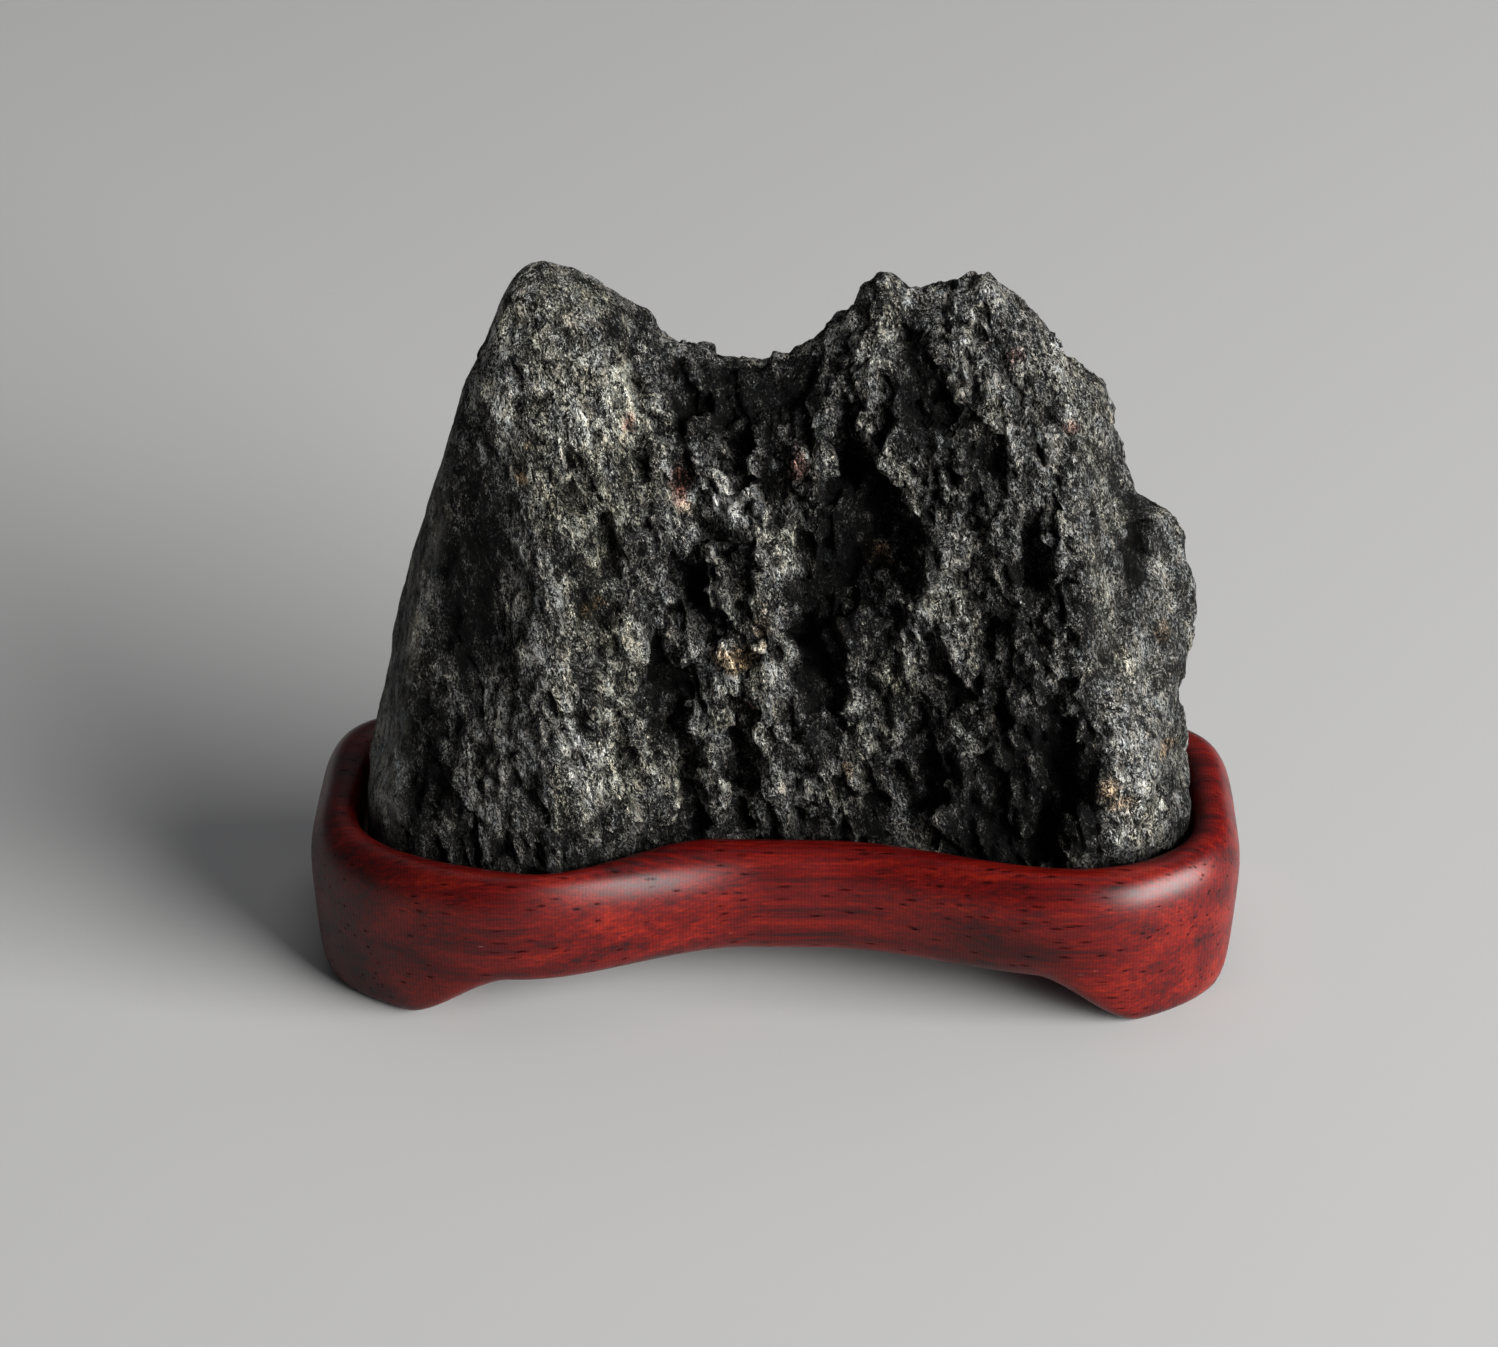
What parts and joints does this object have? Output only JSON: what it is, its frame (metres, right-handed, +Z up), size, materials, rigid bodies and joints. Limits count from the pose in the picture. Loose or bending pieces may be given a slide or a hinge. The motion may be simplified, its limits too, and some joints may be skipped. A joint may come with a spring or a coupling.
{
  "type": "scholars rock",
  "caption": "Small dark scholar's rock with twin peaks and deep vertical furrows, standing in the sunk seat of its own low red hardwood stand with a drawn-in front and short feet.",
  "frame": {"origin": "on the ground under the middle of the stand", "axes": "+X along the stand, -Y towards its drawn-in front, +Z up"},
  "size_m": [0.0576, 0.0238, 0.0455],
  "materials": {
    "dark_stone": "rough, granular, dark grey with rust and tan stains",
    "red_hardwood": "satin, oiled, open-pored"
  },
  "bodies": {
    "root": {"stone": "dark_stone", "stand": "red_hardwood"}
  },
  "joints": []
}
